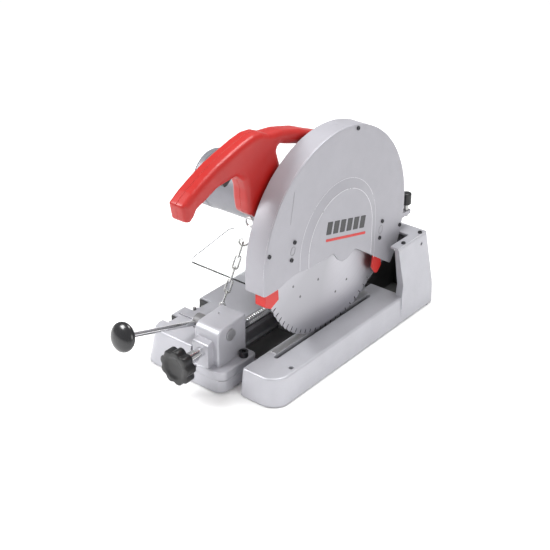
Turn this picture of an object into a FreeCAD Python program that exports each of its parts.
import FreeCAD, Part
import math
import os

os.makedirs("parts", exist_ok=True)

# Dry-cutting chop saw for 14 inch blades, millimetres.
# Origin: on the bench under the middle of the base. +X is the operator's right,
# -Y is the operator's front, +Z is up.

V = FreeCAD.Vector
X_AXIS = V(1, 0, 0)
Y_AXIS = V(0, 1, 0)
Z_AXIS = V(0, 0, 1)

# ---- driving dimensions -------------------------------------------------------
BLADE_DIA = 355.6
BLADE_X = 91.3
BLADE_THICK = 2.4
TEETH = 72
GULLET = 11.0
ARBOR_Y, ARBOR_Z = -8.0, 224.3

MOTOR_Y, MOTOR_Z = 1.0, 253.0
COUNTER_Y, COUNTER_Z = 32.2, 242.2
MOTOR_R = 53.5
MOTOR_LEFT = -190.0

GUARD_R = 198.3
GUARD_IN = 67.0
GUARD_OUT = 107.5
GUARD_WALL = 3.0
GUARD_FOOT_Z = 198.0
DOME_OUTER, DOME_INNER, DOME_RISE = 107.0, 90.0, 5.0

PIVOT_Y, PIVOT_Z = 204.0, 139.0
PIVOT_R = 8.0

HALF_W = 145.5
LEFT_FOOT, LEFT_TOP = 137.0, 130.0
HALF_L = 244.4
FOOT = 2.0
TABLE_Z = 66.0
TABLE_RIGHT = -20.0
FLOOR_Z = 24.0
SHELF_RIGHT = 60.5
FRONT_RIGHT, FRONT_END = 43.5, -148.0
RAIL_LEFT = 65.5
RAIL_FRONT = -223.4
DECK_Z = 54.0
TOWER_FRONT = 150.0
TOWER_TOP = 159.0
TOWER_LEFT = -20.0
SLOT_FRONT, SLOT_REAR, SLOT_W = -160.6, 113.5, 9.1

SCREW_X, SCREW_Z = -5.0, 67.0
SCREW_R = 8.5
CAM_Y, CAM_Z = -195.0, 90.0
BLOCK = (-31.0, 22.6, -226.6, -154.0, 113.0)
FLANGE_TOP = 40.0

HANDLE_MID, HANDLE_HALF = 42.0, 18.0
BENCH_HOLE = 9.0
BENCH_HOLES = [(-115.0, -124.5), (131.0, -166.5), (-118.0, 190.0), (34.0, 190.0)]
PADS = [(-122.0, -220.0), (28.0, -228.0), (-122.0, 222.0), (126.0, -186.0), (0.0, 0.0), (137.0, 230.0)]
PAD_R = 8.0
RUN_FIT = 0.05


# ---- helpers ------------------------------------------------------------------
def box(x0, x1, y0, y1, z0, z1):
    return Part.makeBox(x1 - x0, y1 - y0, z1 - z0, V(x0, y0, z0))


def rod_x(x0, x1, y, z, r):
    return Part.makeCylinder(r, x1 - x0, V(x0, y, z), X_AXIS)


def rod_y(y0, y1, x, z, r):
    return Part.makeCylinder(r, y1 - y0, V(x, y0, z), Y_AXIS)


def rod_z(z0, z1, x, y, r):
    return Part.makeCylinder(r, z1 - z0, V(x, y, z0), Z_AXIS)


def ring_x(x0, x1, y, z, r_out, r_in):
    return rod_x(x0, x1, y, z, r_out).cut(rod_x(x0 - 1, x1 + 1, y, z, r_in))


def rounded(points, radii):
    """Closed wire through points with an arc of the given radius at each corner."""
    n = len(points)
    if not isinstance(radii, (list, tuple)):
        radii = [radii] * n
    corners = []
    for i in range(n):
        p, a, b = points[i], points[i - 1], points[(i + 1) % n]
        u = (a - p).normalize()
        w = (b - p).normalize()
        half = u.getAngle(w) / 2
        if radii[i] <= 0 or half > 1.56:
            corners.append((p, p, p))
            continue
        reach = min(radii[i] / math.tan(half), 0.49 * (a - p).Length, 0.49 * (b - p).Length)
        radius = reach * math.tan(half)
        mid = (u + w).normalize()
        crown = p + mid * (radius / math.sin(half) - radius)
        corners.append((p + u * reach, crown, p + w * reach))
    edges = []
    for i in range(n):
        start, crown, end = corners[i]
        if (start - end).Length > 1e-6:
            edges.append(Part.Arc(start, crown, end).toShape())
        nxt = corners[(i + 1) % n][0]
        if (nxt - end).Length > 1e-6:
            edges.append(Part.makeLine(end, nxt))
    return Part.Wire(edges)


def plate_x(points, x0, x1, radii=0):
    """Solid with a side outline of (Y, Z) points, from x0 to x1."""
    wire = rounded([V(x0, y, z) for y, z in points], radii)
    return Part.Face(wire).extrude(V(x1 - x0, 0, 0))


def plate_z(points, z0, z1, radii=0):
    wire = rounded([V(x, y, z0) for x, y in points], radii)
    return Part.Face(wire).extrude(V(0, 0, z1 - z0))


def drafted(bottom, top, z0, z1, radii):
    """Block between a bottom and a top rectangle, each (x0, x1, y0, y1)."""
    wires = []
    for (x0, x1, y0, y1), z in ((bottom, z0), (top, z1)):
        wires.append(rounded([V(x0, y0, z), V(x1, y0, z), V(x1, y1, z), V(x0, y1, z)], radii))
    return Part.makeLoft(wires, True, True)


def round_top(solid, radius):
    """Fillet along every edge that lies in the solid's highest plane."""
    top = solid.BoundBox.ZMax
    return solid.makeFillet(radius, [e for e in solid.Edges if e.BoundBox.ZMin > top - 0.05])


def fuse(shapes):
    out = shapes[0]
    for s in shapes[1:]:
        out = out.fuse(s)
    return out.removeSplitter()


def hexagon_x(x0, x1, y, z, across):
    r = across / math.sqrt(3)
    pts = [(y + r * math.cos(math.radians(60 * i)), z + r * math.sin(math.radians(60 * i)))
           for i in range(6)]
    return plate_x(pts, x0, x1)


def gear_x(x0, x1, y, z, r_tip, depth, count, bore):
    """Spur gear with straight-sided teeth, about the X axis."""
    pts = []
    for i in range(count):
        for share, r in ((0.0, r_tip - depth), (0.30, r_tip - depth), (0.42, r_tip), (0.78, r_tip)):
            a = 2 * math.pi * (i + share) / count
            pts.append((y + r * math.cos(a), z + r * math.sin(a)))
    return plate_x(pts, x0, x1).cut(rod_x(x0 - 1, x1 + 1, y, z, bore))


def socket_screw(tip, head_at, direction, r_shank, r_head, head_len):
    """Socket-head screw from tip to the underside of its head."""
    d = V(direction).normalize()
    shank = Part.makeCylinder(r_shank, (head_at - tip).Length, tip, d)
    head = Part.makeCylinder(r_head, head_len, head_at, d)
    socket = Part.makeCylinder(r_head * 0.5, head_len * 0.6, head_at + d * head_len * 0.4, d)
    return shank.fuse(head).cut(socket)


def export(name, shape):
    if isinstance(shape, (list, tuple)):
        shape = Part.makeCompound(list(shape))
    shape.exportStep("parts/" + name + ".step")
    print(name, round(shape.Volume / 1000, 1), len(shape.Solids), shape.isValid())


# ---- base ---------------------------------------------------------------------
TOWER_SIDE = [(141, FOOT), (141, 54), (145, 78), (130.5, TOWER_TOP - 4), (220, TOWER_TOP - 4),
              (242, 44), (HALF_L, FOOT)]


def base_casting():
    flank = drafted((-LEFT_FOOT, SHELF_RIGHT + 12, -HALF_L, HALF_L),
                    (-LEFT_TOP, SHELF_RIGHT + 12, -234, 240), FOOT, TABLE_Z, [26, 24, 6, 12])
    left = round_top(flank, 4.0)
    left = left.common(plate_z([(-160, -HALF_L), (FRONT_RIGHT, -HALF_L), (FRONT_RIGHT, FRONT_END),
                                (SHELF_RIGHT, FRONT_END), (SHELF_RIGHT, 260), (-160, 260)],
                               0, 70, [0, 18, 0, 0, 0, 0]))
    right = drafted((RAIL_LEFT, HALF_W, RAIL_FRONT, HALF_L), (RAIL_LEFT + 2, 143, -219, 242),
                    FOOT, DECK_Z, [6, 32, 12, 6])
    right = round_top(right, 4.0)
    channel = box(TABLE_RIGHT, 70, -250, HALF_L + 1, FLOOR_Z, 70)
    channel = channel.fuse(box(-32, 70, -250, -148, FLOOR_Z, 70)).removeSplitter()
    left = left.cut(channel)
    body = left.fuse(right)
    body = body.fuse(box(TOWER_LEFT, RAIL_LEFT + 20, 160, 238, FOOT, FLOOR_Z))
    for y in (-146, -40, 70):
        body = body.fuse(box(SHELF_RIGHT - 4, RAIL_LEFT + 4, y, y + 14, FOOT, 16))
    # tower: two bearing walls and a sloping rear wall
    wall_right = plate_x(TOWER_SIDE, 130.5, HALF_W)
    draft = Part.Face(Part.makePolygon([V(HALF_W, 120, 50), V(HALF_W + 9, 120, 50),
                                        V(HALF_W + 9, 120, 162), V(139.5, 120, 162),
                                        V(HALF_W, 120, 50)])).extrude(V(0, 130, 0))
    wall_left = plate_x(TOWER_SIDE, TOWER_LEFT, TOWER_LEFT + 13)
    rear = plate_x([(HALF_L - 7, FOOT), (HALF_L, FOOT), (242, 44), (220, TOWER_TOP - 4),
                    (213, TOWER_TOP - 4), (235, 44)], TOWER_LEFT, 138)
    body = fuse([body, wall_right.cut(draft), wall_left, rear])
    # hollow underside
    body = body.cut(drafted((-LEFT_FOOT + 8, TABLE_RIGHT - 7, -HALF_L + 8, HALF_L - 8),
                            (-LEFT_TOP + 7, TABLE_RIGHT - 7, -226, 232), 0, TABLE_Z - 8, 6))
    body = body.cut(box(TABLE_RIGHT + 1, FRONT_RIGHT - 7, -HALF_L + 12, -135, 0, FLOOR_Z - 8))
    body = body.cut(box(TABLE_RIGHT + 1, SHELF_RIGHT - 7, -140, 236, 0, FLOOR_Z - 8))
    body = body.cut(drafted((RAIL_LEFT + 6, HALF_W - 8, RAIL_FRONT + 9, 140),
                            (RAIL_LEFT + 8, HALF_W - 10, RAIL_FRONT + 12, 138), 0, DECK_Z - 7,
                            [4, 22, 4, 4]))
    for y in (-95, 90):
        body = body.fuse(box(-LEFT_FOOT, -26, y, y + 6, 6, TABLE_Z - 6).common(flank))
    # blade slot with round ends
    slot = box(BLADE_X - SLOT_W / 2, BLADE_X + SLOT_W / 2, SLOT_FRONT + SLOT_W / 2,
               SLOT_REAR - SLOT_W / 2, 30, 70)
    for y in (SLOT_FRONT + SLOT_W / 2, SLOT_REAR - SLOT_W / 2):
        slot = slot.fuse(rod_z(30, 70, BLADE_X, y, SLOT_W / 2))
    body = body.cut(slot)
    # chip bay behind the deck, open to the rear for the tray
    body = body.cut(box(54, 130.5, TOWER_FRONT, 236, 8, 158))
    body = body.cut(box(54, 130.5, 230, 250, 8, 84))
    body = body.cut(box(TOWER_LEFT + 13, 56, 146, 236, FLOOR_Z, 170))
    # rear wall lowered behind the head arm
    body = body.cut(box(TOWER_LEFT + 13, 66, 205, 250, 108, 170))
    for x, y in TOP_SCREWS:
        body = body.cut(rod_z(150, 156, x, y, 2.5))
    # pivot bores
    body = body.cut(rod_x(-30, 136, PIVOT_Y, PIVOT_Z, PIVOT_R))
    body = body.cut(rod_x(130, 150, PIVOT_Y, PIVOT_Z, 3.2))
    # relief pockets along the left edge of the table
    for x1, y0, y1 in ((-114, -203, -177), (-105, -146, -103)):
        liner = box(-150, x1 + 4, y0 - 4, y1 + 4, 34, TABLE_Z - 4).common(flank)
        body = body.fuse(liner).cut(box(-150, x1, y0, y1, 40, 70))
    body = body.cut(box(-120, -90, -170, -167, TABLE_Z - 3, 70))
    # seat for the fence pivot and clamp bolts
    body = body.cut(rod_z(50, 70, FENCE_PIVOT[0], FENCE_PIVOT[1], 5.0))
    # columns over the pads and round the bench bolts
    for x, y in PADS[:-1]:
        column = rod_z(FOOT, roof(x), x, y, PAD_R)
        body = body.fuse(column.common(flank) if x < SHELF_RIGHT else column)
    for x, y in BENCH_HOLES:
        top = 54 if (x, y) == BENCH_HOLES[0] else roof(x)
        body = body.fuse(rod_z(FOOT, top, x, y, 9.5))
        body = body.cut(rod_z(-1, 80, x, y, BENCH_HOLE / 2))
    for x, y in UNDER_BOLTS + [FLANGE_BOLT]:
        body = body.cut(rod_z(FLOOR_Z - 9, 30, x, y, 5.0))
    return body


def roof(x):
    """Height of the underside of the casting's top wall at x."""
    if x < TABLE_RIGHT:
        return TABLE_Z - 7
    return FLOOR_Z - 7 if x < SHELF_RIGHT else DECK_Z - 6


FENCE_PIVOT = (-35.0, 45.0)


def tower_top():
    z0, z1 = TOWER_TOP - 4, TOWER_TOP
    main_plate = plate_z([(66, 186), (123, 186), (123, 128.5), (139.5, 128.5), (139.5, 220), (66, 220)],
                         z0, z1)
    left_cap = box(TOWER_LEFT, TOWER_LEFT + 13, 130.5, 220, z0, z1)
    out = []
    for plate in (main_plate, left_cap):
        for x, y in TOP_SCREWS:
            plate = plate.cut(rod_z(150, 170, x, y, 2.6))
        out.append(plate)
    return out


TOP_SCREWS = [(134.5, 152), (134.5, 206), (-13.5, 152), (-13.5, 206)]


def rubber_pads():
    return [rod_z(0, FOOT, x, y, PAD_R) for x, y in PADS]


# ---- vise ---------------------------------------------------------------------
def vise_block():
    x0, x1, y0, y1, top = BLOCK
    wire_side = [(y0, FLANGE_TOP - 16), (y0, top - 5), (y1, top), (y1, FLANGE_TOP - 16)]
    body = plate_x(wire_side, x0, x1, [0, 16, 4, 0])
    flange = plate_z([(x0, -241.5), (43, -241.5), (43, -148.5), (x0, -148.5)],
                     FLOOR_Z, FLANGE_TOP, [0, 17, 10, 0])
    boss = plate_x([(-240, FLANGE_TOP), (-240, 84), (y0 + 1, 88), (y0 + 1, FLANGE_TOP)],
                   SCREW_X - 18, SCREW_X + 16, [0, 5, 0, 0])
    sides = [e for e in body.Edges if e.BoundBox.XLength < 0.01 and e.BoundBox.ZMin > top - 20]
    body = fuse([body.makeFillet(3.0, sides), round_top(flange, 3.0), boss])
    body = body.cut(rod_y(-260, -100, SCREW_X, SCREW_Z, SCREW_R + 0.1))
    body = body.cut(rod_x(x0 - 5, x1 + 5, CAM_Y, CAM_Z, 8.1))
    # chamber of the half nut, closed by the flange
    body = body.cut(box(SCREW_X - 12, SCREW_X + 12, CAM_Y - 18, CAM_Y + 18, SCREW_Z + 5, 100))
    body = body.cut(rod_z(FLOOR_Z - 1, FLANGE_TOP + 1, FLANGE_BOLT[0], FLANGE_BOLT[1], 5.0))
    for x, y in UNDER_BOLTS:
        body = body.cut(rod_z(FLOOR_Z - 1, 44, x, y, 5.0))
    body = body.cut(rod_y(-250, -232, SCREW_X - 12, 39.0 - 5, 3))
    body = body.cut(rod_z(top - 8, top + 2, -15.3, -180, 1.6))
    return body


FLANGE_BOLT = (32.0, -172.0)
UNDER_BOLTS = [(14.0, -214.0), (14.0, -165.0)]


def flange_bolts():
    """One socket-head bolt from above, and two from under the base."""
    x, y = FLANGE_BOLT
    bolts = [socket_screw(V(x, y, 18), V(x, y, FLANGE_TOP), Z_AXIS, 5.0, 8.0, 10.0)]
    for x, y in UNDER_BOLTS:
        bolts.append(socket_screw(V(x, y, 44), V(x, y, FLOOR_Z - 8), V(0, 0, -1), 5.0, 8.0, 8.0))
    return bolts


def vise_screw():
    rod = rod_y(-256, JAW_REAR - 6.5, SCREW_X, SCREW_Z, SCREW_R)
    collar = rod_y(KNOB_FRONT + 26, -256, SCREW_X, SCREW_Z, 11.0)
    stub = rod_y(KNOB_FRONT + 11, KNOB_FRONT + 26, SCREW_X, SCREW_Z, 6.0)
    grooves = [Part.makeTorus(SCREW_R + 0.4, 0.9, V(SCREW_X, y, SCREW_Z), Y_AXIS)
               for y in range(-120, -50, 5)]
    body = fuse([rod, collar, stub])
    for g in grooves:
        body = body.cut(g)
    return body


KNOB_FRONT = -306.0


def vise_knob():
    lobes = 9
    pts = []
    for i in range(lobes):
        for share, r in ((0.0, 33.0), (0.28, 33.0), (0.64, 29.0)):
            a = 2 * math.pi * (i + share) / lobes
            pts.append(V(SCREW_X + r * math.cos(a), KNOB_FRONT, SCREW_Z + r * math.sin(a)))
    face = Part.Face(rounded(pts, 4.0))
    body = face.extrude(V(0, 21, 0))
    body = body.fuse(Part.makeCone(24, 14, 5, V(SCREW_X, KNOB_FRONT + 21, SCREW_Z), Y_AXIS))
    dish = Part.makeCone(22, 18, 3, V(SCREW_X, KNOB_FRONT, SCREW_Z), Y_AXIS)
    body = body.cut(dish)
    return body.cut(rod_y(KNOB_FRONT + 11, KNOB_FRONT + 30, SCREW_X, SCREW_Z, 6.0))


JAW_FRONT, JAW_REAR = -34.0, -16.0


def vise_jaw():
    lower = box(-8, 38, JAW_FRONT, JAW_REAR, 32, 68)
    upper = plate_x([(JAW_FRONT, 67), (JAW_REAR, 67), (JAW_REAR, 106), (JAW_FRONT, 100)],
                    -42, 38, [0, 0, 2, 5])
    sole = box(6, 38, JAW_FRONT - 12, JAW_REAR, FLOOR_Z + 2.4, 36)
    socket = rod_y(JAW_FRONT - 4, JAW_FRONT, SCREW_X, SCREW_Z, 14)
    body = fuse([lower, upper, sole, socket])
    body = body.cut(rod_y(JAW_FRONT - 6.1, JAW_REAR - 6, SCREW_X, SCREW_Z, SCREW_R + 0.1))
    for z in (78, 86, 94):
        body = body.cut(box(-43, 39, JAW_REAR - 1, JAW_REAR + 1, z, z + 1.6))
    return body


def vise_fence():
    z0 = TABLE_Z + 0.2
    upright = box(-95, 56, 22, 31, z0, 108)
    foot = plate_z([(-95, 30), (-24, 30), (-24, 66), (-95, 66)], z0, TABLE_Z + 9, [0, 0, 10, 10])
    ribs = [plate_x([(30, z0 + 4), (58, TABLE_Z + 9), (30, 100)], x, x + 6) for x in (-92, -60)]
    body = fuse([upright, foot] + ribs)
    body = body.cut(rod_z(60, 90, FENCE_PIVOT[0], FENCE_PIVOT[1], 5.1))
    body = body.cut(rod_z(60, 90, -74, 50, 5.1))
    return body


def fence_pivot_bolt():
    x, y = FENCE_PIVOT
    return rod_z(50, TABLE_Z + 9.2, x, y, 5.0).fuse(
        plate_z([(x + 9 * math.cos(math.radians(60 * i)), y + 9 * math.sin(math.radians(60 * i)))
                 for i in range(6)], TABLE_Z + 9.2, TABLE_Z + 16))


def fence_clamp_bolt():
    head = rod_z(TABLE_Z + 9, TABLE_Z + 17, -74, 50, 8)
    return rod_z(TABLE_Z + 0.2, TABLE_Z + 9, -74, 50, 4.8).fuse(head)


def half_nut():
    y0, y1 = CAM_Y - 16, CAM_Y + 16
    body = box(SCREW_X - 11, SCREW_X + 11, y0, y1, SCREW_Z + 6, 81.5)
    return body.cut(rod_y(y0 - 1, y1 + 1, SCREW_X, SCREW_Z, SCREW_R + 0.3))


LEVER_X = -44.0
LEVER_TILT = 17.5
LEVER_REACH = 205.0


def lever_point(s):
    a = math.radians(LEVER_TILT)
    return V(LEVER_X, CAM_Y - s * math.cos(a), CAM_Z + s * math.sin(a))


def cam_shaft():
    x0, x1 = BLOCK[0], BLOCK[1]
    ends = [rod_x(LEVER_X - 9, SCREW_X - 12.5, CAM_Y, CAM_Z, 8.0),
            rod_x(SCREW_X + 12.5, x1 + 0.3, CAM_Y, CAM_Z, 8.0)]
    waist = rod_x(SCREW_X - 13, SCREW_X + 13, CAM_Y, CAM_Z, 5.0)
    head = rod_x(x1 + 0.3, x1 + 2.6, CAM_Y, CAM_Z, 10.5)
    return fuse(ends + [waist, head])


def lever_hub():
    hub = rod_x(LEVER_X - 8, BLOCK[0] - 1, CAM_Y, CAM_Z, 14)
    return hub.cut(rod_x(LEVER_X - 20, BLOCK[0] + 5, CAM_Y, CAM_Z, 8.0)).cut(
        Part.makeCylinder(4.5, 20, lever_point(9), lever_point(1) - lever_point(0)))


def lever_rod():
    d = lever_point(1) - lever_point(0)
    return Part.makeCylinder(4.5, LEVER_REACH - 24 - 9, lever_point(9), d)


def lever_knob():
    d = lever_point(1) - lever_point(0)
    start = lever_point(LEVER_REACH - 34)
    neck = Part.makeCone(8, 13, 14, start, d)
    ball = Part.makeSphere(25, lever_point(LEVER_REACH - 8))
    band = Part.makeCylinder(25, 26, lever_point(LEVER_REACH - 20), d)
    dome = Part.makeSphere(34, lever_point(LEVER_REACH - 30))
    knob = neck.fuse(ball.common(band).common(dome))
    return knob.removeSplitter().cut(Part.makeCylinder(4.5, 10, start, d))


# ---- pivot --------------------------------------------------------------------
def pivot_shaft():
    shaft = rod_x(-18, 130.5 + 5.4, PIVOT_Y, PIVOT_Z, PIVOT_R)
    return shaft.cut(rod_x(126, 140, PIVOT_Y, PIVOT_Z, 3.0))


def return_spring():
    """Close-wound torsion spring around the pivot shaft."""
    turns, wire, mean = 7, 4.0, 13.0
    x0 = 68.0
    helix = Part.makeHelix(5.0, turns * 5.0, mean)
    helix.rotate(V(0, 0, 0), Y_AXIS, 90)
    helix.translate(V(x0, PIVOT_Y, PIVOT_Z))
    start = helix.Vertexes[0].Point
    circle = Part.Wire(Part.makeCircle(wire / 2, start, tangent_at_start(helix)))
    return helix.makePipeShell([circle], True, True)


def tangent_at_start(wire):
    edge = wire.Edges[0]
    return edge.tangentAt(edge.FirstParameter)


REAR_KNOB = (97.0, 213.0)


def rear_knob_stem():
    return rod_z(180, 212, REAR_KNOB[0], REAR_KNOB[1], 4.5)


def rear_knob():
    x, y = REAR_KNOB
    cap = rod_z(203, 226, x, y, 9.0)
    cap = cap.makeFillet(3, [e for e in cap.Edges if e.Curve.TypeId == "Part::GeomCircle"])
    return cap.cut(rod_z(200, 212, x, y, 4.5))


# ---- head castings -------------------------------------------------------------
CASE_SIDE = [(-50, 212), (-38, 192), (-10, 183), (14, 183), (62, 206), (76, 240), (60, 284),
             (30, 306), (-30, 306), (-50, 284)]
CASE_RADII = [12, 6, 18, 18, 18, 18, 18, 18, 18, 18]
CASE_LEFT, CASE_RIGHT = 14.0, GUARD_IN


def gear_case():
    outer = plate_x(CASE_SIDE, CASE_LEFT, CASE_RIGHT, CASE_RADII)
    arm = plate_x([(40, 190), (PIVOT_Y - 10, PIVOT_Z - 14), (PIVOT_Y + 8, PIVOT_Z + 14), (60, 282)],
                  CASE_LEFT + 6, 60, [0, 12, 12, 0])
    lug = rod_x(2, 62, PIVOT_Y, PIVOT_Z, 18)
    body = fuse([outer, arm, lug])
    body = body.cut(rod_x(0, 70, PIVOT_Y, PIVOT_Z, PIVOT_R + 0.1))
    cavity = fuse([rod_x(22, 60, ARBOR_Y, ARBOR_Z, 37), rod_x(22, 60, COUNTER_Y, COUNTER_Z, 30),
                   rod_x(22, 60, MOTOR_Y, MOTOR_Z, 20)])
    body = body.cut(cavity)
    # mouth towards the motor, and bearing seats
    body = body.cut(rod_x(10, 25, MOTOR_Y, MOTOR_Z, 16.0))
    body = body.cut(rod_x(50, 70, ARBOR_Y, ARBOR_Z, 21.0))
    body = body.cut(rod_x(16, 23, ARBOR_Y, ARBOR_Z, 17.0))
    body = body.cut(rod_x(16, 23, COUNTER_Y, COUNTER_Z, 13.0))
    body = body.cut(rod_x(59, 66, COUNTER_Y, COUNTER_Z, 13.0))
    # weight-saving window in the arm
    window = plate_x([(92, 190), (150, 162), (176, 152), (96, 236)], 10, 70, 6)
    return body.cut(window)


def ball_bearing(x0, x1, y, z, r_out, r_in):
    """Inner and outer ring with a groove between them, as one solid."""
    ring = ring_x(x0, x1, y, z, r_out, r_in + RUN_FIT)
    mid, width = (r_out + r_in) / 2, (r_out - r_in) * 0.2
    for a, b in ((x0 - 1, x0 + 0.8), (x1 - 0.8, x1 + 1)):
        ring = ring.cut(ring_x(a, b, y, z, mid + width, mid - width))
    return ring


def motor_housing():
    length = CASE_LEFT - (MOTOR_LEFT + 14)
    shell = Part.makeCone(MOTOR_R, MOTOR_R - 3, length, V(MOTOR_LEFT + 14, MOTOR_Y, MOTOR_Z), X_AXIS)
    shell = shell.cut(rod_x(MOTOR_LEFT + 10, CASE_LEFT - 6, MOTOR_Y, MOTOR_Z, 46.0))
    shell = shell.cut(rod_x(CASE_LEFT - 10, CASE_LEFT + 1, MOTOR_Y, MOTOR_Z, 13.0))
    # brush-holder bores, top and bottom, and the cable entry
    shell = shell.cut(rod_z(180, 330, -142, MOTOR_Y, 7.0))
    return shell.cut(rod_y(MOTOR_Y + 30, MOTOR_Y + 60, GLAND_X, MOTOR_Z, 8.0))


GLAND_X = -46.0


def cable_gland():
    bush = rod_y(MOTOR_Y + 45, MOTOR_Y + 62, GLAND_X, MOTOR_Z, 8.0)
    nose = Part.makeCone(8.0, 6.0, 12, V(GLAND_X, MOTOR_Y + 62, MOTOR_Z), Y_AXIS)
    return fuse([bush, nose]).cut(rod_y(MOTOR_Y + 44, MOTOR_Y + 80, GLAND_X, MOTOR_Z, 4.0))


def motor_end_cap():
    r, x0 = MOTOR_R, MOTOR_LEFT
    cap = rod_x(x0, x0 + 14, MOTOR_Y, MOTOR_Z, r)
    cap = cap.makeFillet(6, [e for e in cap.Edges
                             if e.Curve.TypeId == "Part::GeomCircle" and abs(e.CenterOfMass.x - x0) < 1])
    cap = cap.cut(rod_x(x0 + 4, x0 + 15, MOTOR_Y, MOTOR_Z, 46))
    cap = cap.fuse(rod_x(x0 + 3, x0 + 14, MOTOR_Y, MOTOR_Z, 17))
    cap = cap.cut(rod_x(x0 + 4, x0 + 15, MOTOR_Y, MOTOR_Z, 13))
    for i in range(12):
        vent = box(x0 - 1, x0 + 5, MOTOR_Y - 2, MOTOR_Y + 2, MOTOR_Z + 22, MOTOR_Z + 40)
        vent.rotate(V(0, MOTOR_Y, MOTOR_Z), X_AXIS, 30 * i)
        cap = cap.cut(vent)
    return cap


def stator():
    core = ring_x(-122, -58, MOTOR_Y, MOTOR_Z, 46.0, 31.0)
    return core


def ring_on_shaft(x0, x1, r):
    return ring_x(x0, x1, MOTOR_Y, MOTOR_Z, r, 5.0)


def cooling_fan():
    hub = ring_on_shaft(-34, -30, 43)
    body = hub.fuse(ring_on_shaft(-34, -18, 10))
    for i in range(11):
        vane = box(-31, -18, MOTOR_Y - 1, MOTOR_Y + 1, MOTOR_Z + 9, MOTOR_Z + 42)
        vane.rotate(V(0, MOTOR_Y, MOTOR_Z), X_AXIS, 360 / 11 * i)
        body = body.fuse(vane)
    return body


def brush_parts(kind):
    out = []
    for side in (-1, 1):
        a = MOTOR_Z + side * 15.5
        b = MOTOR_Z + side * 44
        c = MOTOR_Z + side * (MOTOR_R + 1.5)
        lo, hi = min(a, b), max(a, b)
        if kind == "brushes":
            lo, hi = min(a, a + side * 14), max(a, a + side * 14)
            out.append(box(-146, -138, MOTOR_Y - 3, MOTOR_Y + 3, lo, hi))
        elif kind == "holders":
            tube = rod_z(lo, hi, -142, MOTOR_Y, 7.0)
            out.append(tube.cut(box(-146, -138, MOTOR_Y - 3, MOTOR_Y + 3, lo - 1, hi + 1)))
        else:
            out.append(rod_z(min(b, c), max(b, c), -142, MOTOR_Y, 7.0))
    return out


# ---- guard --------------------------------------------------------------------
def guard_edge():
    """Lower edge of the guard, from its front foot to its rear corner, as (Y, Z)."""
    front = ARBOR_Y - GUARD_R
    return [(front, GUARD_FOOT_Z), (-168, GUARD_FOOT_Z), (-150, 203), (-132, 205.5), (-28, 205),
            (-16, 189), (-4, 180), (10, 180.5), (22, 185), (35, 190), (152, 110.5)]


def guard_face(x, radius):
    """Face bounded by the guard's circle, its straight front side and its lower edge."""
    edge = guard_edge()
    front = V(x, ARBOR_Y - radius, ARBOR_Z)
    foot = V(x, ARBOR_Y - radius, GUARD_FOOT_Z)
    inner = [V(x, y, z) for y, z in edge[1:-1]]
    slope_a, slope_b = V(x, *edge[-2]), V(x, *edge[-1])
    d = (slope_b - slope_a).normalize()
    # rear corner: the sloping edge meets the circle
    c = V(x, ARBOR_Y, ARBOR_Z)
    rel = slope_a - c
    b = rel.dot(d)
    t = -b + math.sqrt(b * b - rel.dot(rel) + radius * radius)
    rear = slope_a + d * t
    top = c + V(0, 0, radius)
    wire = Part.Wire([Part.Arc(front, top, rear).toShape()]
                     + [Part.makeLine(a, b2) for a, b2 in
                        zip([rear] + inner[::-1] + [foot], inner[::-1] + [foot, front])])
    return Part.Face(wire)


def guard_housing():
    x0, x1 = GUARD_IN, GUARD_OUT - GUARD_WALL
    outer = guard_face(x0, GUARD_R).extrude(V(x1 - x0, 0, 0))
    hollow = rod_x(x0 + GUARD_WALL, x1 + 1, ARBOR_Y, ARBOR_Z, GUARD_R - GUARD_WALL)
    front = ARBOR_Y - GUARD_R + GUARD_WALL
    hollow = hollow.fuse(box(x0 + GUARD_WALL, x1 + 1, front, 0, 90, ARBOR_Z))
    body = outer.cut(hollow)
    body = body.cut(rod_x(60, 80, ARBOR_Y, ARBOR_Z, 21.0))
    for y, z in COVER_SCREWS:
        body = body.fuse(guard_post(x0, x1, y, z))
    # brackets for the handle, and the lug of the rear knob
    body = body.fuse(plate_x([(-8, 374), (24, 374), (20, 398), (-8, 404)],
                             HANDLE_MID + HANDLE_HALF, x0, 3))
    body = body.fuse(plate_x([(-130, 296), (-100, 296), (-100, 330), (-130, 330)],
                             HANDLE_MID + HANDLE_HALF, x0, 4))
    lug = box(REAR_KNOB[0] - 6, REAR_KNOB[0] + 6, 170, REAR_KNOB[1] + 7, 184, 192)
    lug = lug.cut(rod_x(x0 + 1, x1 + 1, ARBOR_Y, ARBOR_Z, GUARD_R - 1))
    return body.fuse(lug).cut(rod_z(175, 195, REAR_KNOB[0], REAR_KNOB[1], 4.5))


# Screws near the rim that hold the cover, then the two pairs on its face.
COVER_SCREWS = [(36.5, 411.6), (-195.3, 267.4), (177.3, 178.4)]
HATCH_SCREWS = [(-130.4, 267.2), (-138.4, 237.7), (120.4, 207.7), (113.9, 177.2)]


def guard_post(x0, x1, y, z):
    out = V(0, y - ARBOR_Y, z - ARBOR_Z).normalize()
    centre = V(x0, y, z) + out * 2.0
    post = Part.makeCylinder(6.0, x1 - x0, centre, X_AXIS)
    keep = rod_x(x0, x1, ARBOR_Y, ARBOR_Z, GUARD_R - 0.5)
    if z > ARBOR_Z or y > 0:
        post = post.common(keep)
    return post.cut(Part.makeCylinder(2.0, 14, V(x1 - 13, y, z), X_AXIS))


def arch_wire(x, r, foot):
    c_y, c_z = ARBOR_Y, ARBOR_Z
    a = V(x, c_y - r, foot)
    b = V(x, c_y - r, c_z)
    c = V(x, c_y + r, c_z)
    d = V(x, c_y + r, foot)
    return Part.Wire([Part.makeLine(a, b), Part.Arc(b, V(x, c_y, c_z + r), c).toShape(),
                      Part.makeLine(c, d), Part.makeLine(d, a)])


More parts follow.
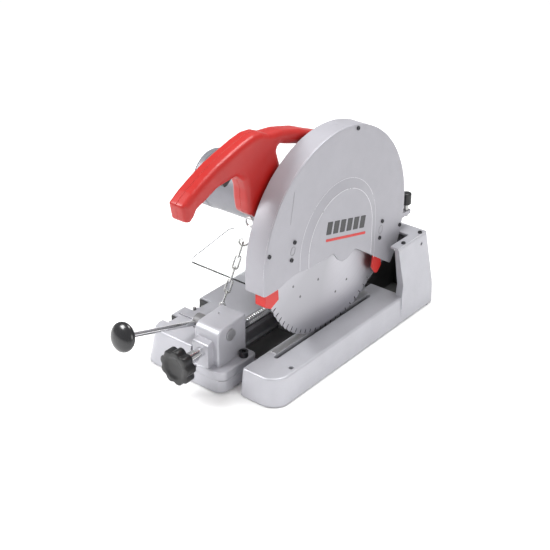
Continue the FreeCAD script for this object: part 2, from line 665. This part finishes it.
def guard_cover():
    x0 = GUARD_OUT - GUARD_WALL
    sheet = guard_face(x0, GUARD_R).extrude(V(GUARD_WALL, 0, 0))
    dome = Part.makeLoft([arch_wire(GUARD_OUT - 0.01, DOME_OUTER, 100),
                          arch_wire(GUARD_OUT + DOME_RISE, DOME_INNER, 100)], True, True)
    keep = guard_face(x0, GUARD_R - 12).extrude(V(20, 0, 0))
    body = sheet.fuse(dome.common(keep)).removeSplitter()
    for y, z in COVER_SCREWS + HATCH_SCREWS:
        body = body.cut(rod_x(x0 - 1, GUARD_OUT + 8, y, z, 2.0))
    return body


def cover_screws():
    out = []
    for y, z in COVER_SCREWS + HATCH_SCREWS:
        x = GUARD_OUT
        tip = 8 if (y, z) in COVER_SCREWS else 5
        out.append(socket_screw(V(x - tip, y, z), V(x, y, z), X_AXIS, 2.0, 3.6, 2.2))
    return out


def flap():
    side = plate_x([(-198, 203), (-198, 174), (-187, 167), (-167, 176), (-169, 203)], 102, 104.5)
    front = plate_x([(-200.5, 203), (-200.5, 176), (-198, 173), (-198, 203)], 83, 104.5)
    return fuse([side, front])


def rear_tab():
    return plate_x([(103, 153), (124, 139), (128, 117), (117, 105), (109, 107), (98, 123)],
                   102, 104.5, 2)


# ---- blade spindle --------------------------------------------------------------
def blade_spindle():
    body = rod_x(17, 67, ARBOR_Y, ARBOR_Z, 10.0).fuse(rod_x(67, 97, ARBOR_Y, ARBOR_Z, 12.7))
    return body.cut(rod_x(80, 98, ARBOR_Y, ARBOR_Z, 4.0)).removeSplitter()


def saw_blade():
    half = BLADE_THICK / 2
    r = BLADE_DIA / 2
    pts = []
    for i in range(TEETH):
        for share, rr in ((0.0, r - 2.5), (0.30, r), (0.62, r - 1.2), (0.70, r - GULLET),
                          (0.92, r - GULLET)):
            a = 2 * math.pi * (i + share) / TEETH
            pts.append((ARBOR_Y + rr * math.cos(a), ARBOR_Z + rr * math.sin(a)))
    disc = plate_x(pts, BLADE_X - half, BLADE_X + half)
    disc = disc.cut(rod_x(80, 100, ARBOR_Y, ARBOR_Z, 12.7))
    for y, z in BLADE_HOLES:
        disc = disc.cut(rod_x(80, 100, y, z, 2.4))
    return disc


BLADE_HOLES = [(-113.6, 172.0), (-94.3, 144.4), (-44.9, 156.1), (6.1, 109.5), (38.5, 120.1)]


def blade_flange(x0, x1, r):
    return ring_x(x0, x1, ARBOR_Y, ARBOR_Z, r, 12.7)


def arbor_bolt():
    washer = rod_x(98.2, 99.6, ARBOR_Y, ARBOR_Z, 12)
    head = hexagon_x(99.6, 104.0, ARBOR_Y, ARBOR_Z, 15)
    return fuse([rod_x(82, 98.3, ARBOR_Y, ARBOR_Z, 4.0), washer, head])


# ---- handle ---------------------------------------------------------------------
HANDLE_SIDE = [(-334, 388), (-318, 406), (-283, 424), (-250, 435), (-216, 445), (-184, 452),
               (-164, 454), (-140, 450), (-112, 443), (-78, 437), (-46, 428), (-14, 415),
               (22, 398), (26, 380), (8, 378), (-30, 397), (-60, 404), (-106, 417), (-117, 411),
               (-109, 378), (-84, 345), (-50, 312), (-50, 276), (-98, 286), (-138, 293),
               (-161, 300), (-173, 315), (-178, 340), (-181, 366), (-187, 383), (-200, 395),
               (-240, 394), (-253, 394), (-273, 389), (-291, 383), (-305, 376), (-310, 366),
               (-320, 358), (-331, 363)]


def handle_blank():
    radii = [8, 20, 30, 30, 30, 30, 14, 20, 30, 30, 30, 30, 8, 4, 6, 20, 20, 8, 6, 12, 20, 4, 4, 20,
             20, 12, 14, 20, 20, 12, 10, 4, 6, 20, 20, 10, 8, 6, 6]
    return plate_x(HANDLE_SIDE, HANDLE_MID - HANDLE_HALF, HANDLE_MID + HANDLE_HALF, radii)


def handle_half(side):
    solid = handle_blank()
    lo, hi = HANDLE_MID - HANDLE_HALF, HANDLE_MID + HANDLE_HALF
    outer_x = lo if side < 0 else hi
    edges = [e for e in solid.Edges if abs(e.BoundBox.XMin - outer_x) < 0.01
             and abs(e.BoundBox.XMax - outer_x) < 0.01]
    try:
        solid = solid.makeFillet(7.0, edges)
    except Exception:
        solid = solid.makeChamfer(4.0, edges)
    keep = box(-60, HANDLE_MID, -400, 100, 200, 500) if side < 0 else \
        box(HANDLE_MID, 120, -400, 100, 200, 500)
    solid = solid.common(keep)
    # room for the switch and the lead along the grip
    solid = solid.cut(box(HANDLE_MID - 12, HANDLE_MID + 12, -250, -186, 399, 427))
    solid = solid.cut(box(HANDLE_MID - 12, HANDLE_MID + 12, -160, -128, 312, 436))
    solid = solid.cut(box(HANDLE_MID - 6, HANDLE_MID + 6, -243, -200, 375, 400))
    for y, z in HANDLE_SCREWS:
        solid = solid.cut(rod_x(lo - 1, HANDLE_MID + 10, y, z, 2.0))
        solid = solid.cut(rod_x(lo - 1, lo + 5, y, z, 4.5))
    return solid


HANDLE_SCREWS = [(-318.0, 384.0), (-270.0, 405.0), (-112.0, 312.0), (-66.0, 419.0), (-6.0, 397.0)]


def handle_screws():
    """Screws that draw the two halves together, heads sunk in the left one."""
    seat = HANDLE_MID - HANDLE_HALF + 5
    return [socket_screw(V(HANDLE_MID + 9, y, z), V(seat, y, z), V(-1, 0, 0), 2.0, 4.0, 3.0)
            for y, z in HANDLE_SCREWS]


def switch_body():
    return box(HANDLE_MID - 12, HANDLE_MID + 12, -249, -192, 412.5, 427)


def trigger():
    body = plate_x([(-240, 405), (-239, 396), (-230, 383), (-224, 384), (-206, 397), (-204, 405)],
                   HANDLE_MID - 5.5, HANDLE_MID + 5.5, [0, 3, 3, 3, 2, 0])
    return body


# ---- shield, eye, chain -----------------------------------------------------------
SHIELD_LEFT, SHIELD_RIGHT = -115.7, 56.0
SHIELD_FRONT, SHIELD_REAR = (-142.5, 161.6), (-25.0, 182.7)
SHIELD_THICK = 4.0


def clear_shield():
    (y0, z0), (y1, z1) = SHIELD_FRONT, SHIELD_REAR
    length = math.hypot(y1 - y0, z1 - z0)
    flat = plate_z([(SHIELD_LEFT, 0), (SHIELD_RIGHT, 0), (SHIELD_RIGHT, length),
                    (SHIELD_LEFT, length)], -SHIELD_THICK / 2, SHIELD_THICK / 2, [9, 4, 4, 16])
    flat.rotate(V(0, 0, 0), X_AXIS, math.degrees(math.atan2(z1 - z0, y1 - y0)))
    flat.translate(V(0, y0, z0))
    return flat


def shield_height(y):
    (y0, z0), (y1, z1) = SHIELD_FRONT, SHIELD_REAR
    return z0 + (z1 - z0) * (y - y0) / (y1 - y0) + SHIELD_THICK / 2 * 1.017


def shield_bracket():
    return plate_x([(-54, shield_height(-54)), (-26.5, shield_height(-26.5)), (-26.5, 188.3),
                    (-35.5, 191.2), (-54, 187)], 22, 54)


def carry_eye():
    ring = Part.makeTorus(8.0, 2.0, EYE, Y_AXIS)
    stem = rod_x(EYE.x + 8, GUARD_IN, EYE.y, EYE.z, 2.5)
    return fuse([ring, stem])


EYE = V(52.0, -176.0, 304.0)
ANCHOR = V(-51.0, -140.0, 76.0)
LINK_PITCH, LINK_WIRE, LINK_W = 33.0, 1.6, 6.0
LINK_START = 16.7
LINKS = 6
CHAIN_FACE = V(0.55, -0.68, 0.487)


def link_solid(centre, along, across, inner):
    """Oval chain link: two straights joined by two half rings."""
    half, r = inner / 2 - LINK_W + LINK_WIRE, LINK_W - LINK_WIRE
    normal = along.cross(across)
    parts = []
    for s in (-1, 1):
        p = centre + across * (s * r) - along * half
        parts.append(Part.makeCylinder(LINK_WIRE, 2 * half, p, along))
        end = centre + along * (s * half)
        ring = Part.makeTorus(r, LINK_WIRE, end, normal)
        cutter = Part.makeCylinder(3 * r, 3 * r, end, along * s)
        parts.append(ring.common(cutter))
    return fuse(parts)


def chain_frame():
    along = (EYE - ANCHOR).normalize()
    side = along.cross(CHAIN_FACE).normalize()
    deep = along.cross(side).normalize()
    return along, side, deep


def chain_links():
    along, side, deep = chain_frame()
    out = []
    for i in range(LINKS):
        centre = ANCHOR + along * (LINK_START + LINK_PITCH * i)
        across = side if i % 2 == 0 else deep
        out.append(link_solid(centre, along, across, LINK_PITCH + 2.5))
    return out


def chain_hook():
    along, side, deep = chain_frame()
    base = ANCHOR + along * (LINK_START + LINK_PITCH * (LINKS - 0.5) + 2.5)
    ring = Part.makeTorus(7.0, 1.6, base, deep)
    gap = Part.makeCylinder(6, 20, base, (along + side * 0.6).normalize())
    return ring.cut(gap)


def chain_anchor():
    side = chain_frame()[1]
    stem = rod_z(TABLE_Z, ANCHOR.z - 4.8, ANCHOR.x, ANCHOR.y, 2.5)
    ring = Part.makeTorus(5.6, 1.3, ANCHOR, side)
    return fuse([stem, ring])


# ---- chip tray --------------------------------------------------------------------
def chip_tray():
    outer = plate_x([(151, 10), (247, 10), (247, 80), (215, 80), (151, 50)], 56, 128.5, 0)
    inner = plate_x([(153, 12), (243, 12), (243, 90), (213, 90), (153, 60)], 58, 126.5, 0)
    body = outer.cut(inner)
    pull = fuse([box(80, 104, 247, 252, 40, 46)])
    return body.fuse(pull).removeSplitter()


def floor_plate():
    return box(4, 59, -146, 145, FLOOR_Z, FLOOR_Z + 2)


def guide_bars():
    return [box(-19.5, -10.0, -146, 140, FLOOR_Z, 42), box(-3.0, 3.5, -146, 140, FLOOR_Z, 30)]


def slot_strip():
    return box(74.0, 85.5, -150, 120, DECK_Z, DECK_Z + 0.8)


def main():
    export("base_casting", base_casting())
    export("tower_top_plate", tower_top())
    export("tower_screws", [socket_screw(V(x, y, 152), V(x, y, TOWER_TOP), Z_AXIS, 2.5, 4.0, 2.5)
                            for x, y in TOP_SCREWS])
    export("rubber_pads", rubber_pads())
    export("floor_plate", floor_plate())
    export("guide_bars", guide_bars())
    export("slot_strip", slot_strip())
    export("vise_block", vise_block())
    export("vise_flange_bolts", flange_bolts())
    export("pivot_shaft", pivot_shaft())
    export("return_spring", return_spring())
    export("rear_knob_stem", rear_knob_stem())
    export("rear_knob", rear_knob())
    export("chip_tray", chip_tray())
    export("vise_screw", vise_screw())
    export("vise_knob", vise_knob())
    export("vise_jaw", vise_jaw())
    export("vise_fence", vise_fence())
    export("fence_pivot_bolt", fence_pivot_bolt())
    export("fence_clamp_bolt", fence_clamp_bolt())
    export("half_nut", half_nut())
    export("lever_cam_shaft", cam_shaft())
    export("lever_hub", lever_hub())
    export("lever_rod", lever_rod())
    export("lever_knob", lever_knob())
    export("gear_case", gear_case())
    export("motor_housing", motor_housing())
    export("motor_end_cap", motor_end_cap())
    export("motor_stator", stator())
    export("armature_shaft", fuse([rod_x(-184, 36, MOTOR_Y, MOTOR_Z, 5.0),
                                   gear_x(22, 35, MOTOR_Y, MOTOR_Z, 7.4, 1.6, 9, 4.0)]))
    export("armature_core", ring_on_shaft(-120, -60, 30.0))
    export("commutator", ring_on_shaft(-150, -134, 15.0))
    export("cooling_fan", cooling_fan())
    export("small_ball_bearings",
           [ball_bearing(MOTOR_LEFT + 4, MOTOR_LEFT + 10, MOTOR_Y, MOTOR_Z, 13, 5),
            ball_bearing(CASE_LEFT - 6, CASE_LEFT, MOTOR_Y, MOTOR_Z, 13, 5),
            ball_bearing(16, 22, COUNTER_Y, COUNTER_Z, 13, 5),
            ball_bearing(60, 66, COUNTER_Y, COUNTER_Z, 13, 5)])
    export("carbon_brushes", brush_parts("brushes"))
    export("brush_holders", brush_parts("holders"))
    export("brush_caps", brush_parts("caps"))
    export("counter_shaft", fuse([rod_x(17, 64, COUNTER_Y, COUNTER_Z, 5.0),
                                  gear_x(40, 56, COUNTER_Y, COUNTER_Z, 10.2, 2.8, 12, 4.0)]))
    export("counter_gear", gear_x(24, 33, COUNTER_Y, COUNTER_Z, 25.2, 2.4, 36, 5.0))
    export("blade_spindle", blade_spindle())
    export("spindle_gear", gear_x(42, 54, ARBOR_Y, ARBOR_Z, 33.2, 2.8, 36, 10.0))
    export("spindle_bearings", [ball_bearing(16, 22, ARBOR_Y, ARBOR_Z, 17, 10),
                                ball_bearing(60, 66, ARBOR_Y, ARBOR_Z, 21, 10)])
    export("saw_blade", saw_blade())
    export("blade_flanges", [blade_flange(78, BLADE_X - BLADE_THICK / 2, 34),
                             blade_flange(BLADE_X + BLADE_THICK / 2, 98.2, 34)])
    export("arbor_bolt", arbor_bolt())
    export("guard_housing", guard_housing())
    export("guard_cover", guard_cover())
    export("guard_cover_screws", cover_screws())
    export("red_flaps", [flap(), rear_tab()])
    export("handle_left", handle_half(-1))
    export("handle_right", handle_half(1))
    export("handle_screws", handle_screws())
    export("trigger", trigger())
    export("clear_shield", clear_shield())
    export("carry_eye", carry_eye())
    export("chain_anchor", chain_anchor())
    export("chain_links", chain_links() + [chain_hook()])
    export("handle_switch", switch_body())
    export("cable_gland", cable_gland())
    export("shield_bracket", shield_bracket())


main()
